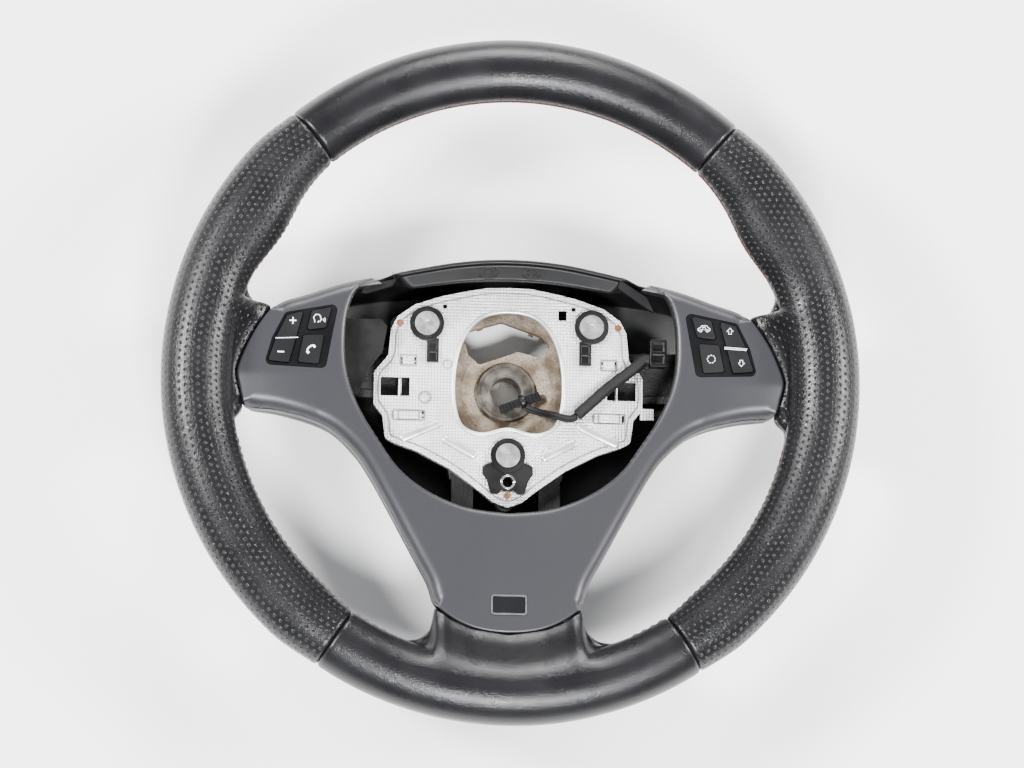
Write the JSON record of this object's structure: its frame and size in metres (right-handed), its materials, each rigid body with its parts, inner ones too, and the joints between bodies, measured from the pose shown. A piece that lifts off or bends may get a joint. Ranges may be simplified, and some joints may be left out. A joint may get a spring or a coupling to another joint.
{
  "type": "car steering wheel",
  "caption": "Sports steering wheel with leather rim, trimmed side and lower spokes, switch pods, and an open hub with its horn plate where the airbag module was.",
  "frame": {"origin": "centre of the column bore on the hub's rear face", "axes": "+Z along the column axis towards the driver, +Y towards twelve o'clock, +X towards three o'clock"},
  "size_m": [0.379, 0.3754, 0.0882],
  "materials": {
    "cast_metal": "bead blasted casting",
    "sleeve_steel": "turned, splined",
    "rim_foam": "moulded foam",
    "smooth_leather": "smooth, satin",
    "perforated_leather": "perforated, satin",
    "trim_plastic": "soft touch, satin",
    "badge_black": "gloss",
    "cover_plastic": "fine grain",
    "screw_steel": "zinc plated",
    "plate_steel": "zinc plated, fine waffle",
    "bolt_steel": "bright zinc",
    "spring_steel": "drawn wire",
    "black_nylon": "moulded",
    "eyelet_steel": "turned",
    "copper": "copper plated",
    "frame_plastic": "satin",
    "key_plastic": "soft touch",
    "mat_rubber": "silicone",
    "board": "solder mask",
    "lead_black": "taped"
  },
  "bodies": {
    "wheel": {"armature": "cast_metal", "spline_sleeve": "sleeve_steel", "rim_foam": "rim_foam", "leather_top": "smooth_leather", "leather_left": "perforated_leather", "leather_right": "perforated_leather", "leather_bottom": "smooth_leather", "spoke_trim": "trim_plastic", "badge_plate": "badge_black", "rear_cover": "cover_plastic", "rear_cover_screws": "screw_steel", "guide_bolts": "bolt_steel", "horn_springs": "spring_steel", "left_switch_frame": "frame_plastic", "left_rubber_mat": "mat_rubber", "left_switch_board": "board", "left_switch_housing": "cover_plastic", "right_switch_frame": "frame_plastic", "right_rubber_mat": "mat_rubber", "right_switch_board": "board", "right_switch_housing": "cover_plastic", "well_flap": "cover_plastic", "switch_plug": "black_nylon", "lead_loom": "lead_black", "lead_wires": "lead_black", "lead_connector": "black_nylon", "cable_tie": "black_nylon"},
    "horn_carrier": {"horn_plate": "plate_steel", "left_bush": "black_nylon", "right_bush": "black_nylon", "bottom_carrier": "black_nylon", "pin_eyelet": "eyelet_steel", "contact_rivets": "copper"},
    "left_clip": {"left_wire_clip": "spring_steel"},
    "right_clip": {"right_wire_clip": "spring_steel"},
    "left_rocker_key": {"left_rocker": "key_plastic"},
    "right_rocker_key": {"right_rocker": "key_plastic"},
    "voice_key": {"voice_button": "key_plastic"},
    "phone_key": {"phone_button": "key_plastic"},
    "recirculation_key": {"recirculation_button": "key_plastic"},
    "custom_key": {"custom_button": "key_plastic"}
  },
  "joints": [
    {"name": "horn_press", "type": "slide", "parent": "wheel", "child": "horn_carrier", "axis": [0, 0, -1], "range_m": [0, 0.0015], "stiffness_N_per_m": 6000, "springref_m": -0.003, "deforming": ["horn_springs"]},
    {"name": "left_clip_slide", "type": "slide", "parent": "horn_carrier", "child": "left_clip", "axis": [1, 0, 0], "range_m": [0, 0.003], "stiffness_N_per_m": 1500, "springref_m": -0.001},
    {"name": "right_clip_slide", "type": "slide", "parent": "horn_carrier", "child": "right_clip", "axis": [-1, 0, 0], "range_m": [0, 0.003], "stiffness_N_per_m": 1500, "springref_m": -0.001},
    {"name": "left_rocker_tilt", "type": "hinge", "parent": "wheel", "child": "left_rocker_key", "pos_m": [-0.12231, 0.02, 0.06104], "axis": [0.996, 0, -0.0896], "range_deg": [-4, 4], "stiffness_Nm_per_rad": 1.2},
    {"name": "right_rocker_tilt", "type": "hinge", "parent": "wheel", "child": "right_rocker_key", "pos_m": [0.12231, 0.02, 0.06104], "axis": [0.996, 0, 0.0896], "range_deg": [-4, 4], "stiffness_Nm_per_rad": 1.2},
    {"name": "voice_press", "type": "slide", "parent": "wheel", "child": "voice_key", "axis": [-0.0896, 0, -0.996], "range_m": [0, 0.001], "stiffness_N_per_m": 1200, "springref_m": -0.0008},
    {"name": "phone_press", "type": "slide", "parent": "wheel", "child": "phone_key", "axis": [-0.0896, 0, -0.996], "range_m": [0, 0.001], "stiffness_N_per_m": 1200, "springref_m": -0.0008},
    {"name": "recirculation_press", "type": "slide", "parent": "wheel", "child": "recirculation_key", "axis": [0.0896, 0, -0.996], "range_m": [0, 0.001], "stiffness_N_per_m": 1200, "springref_m": -0.0008},
    {"name": "custom_press", "type": "slide", "parent": "wheel", "child": "custom_key", "axis": [0.0896, 0, -0.996], "range_m": [0, 0.001], "stiffness_N_per_m": 1200, "springref_m": -0.0008}
  ]
}
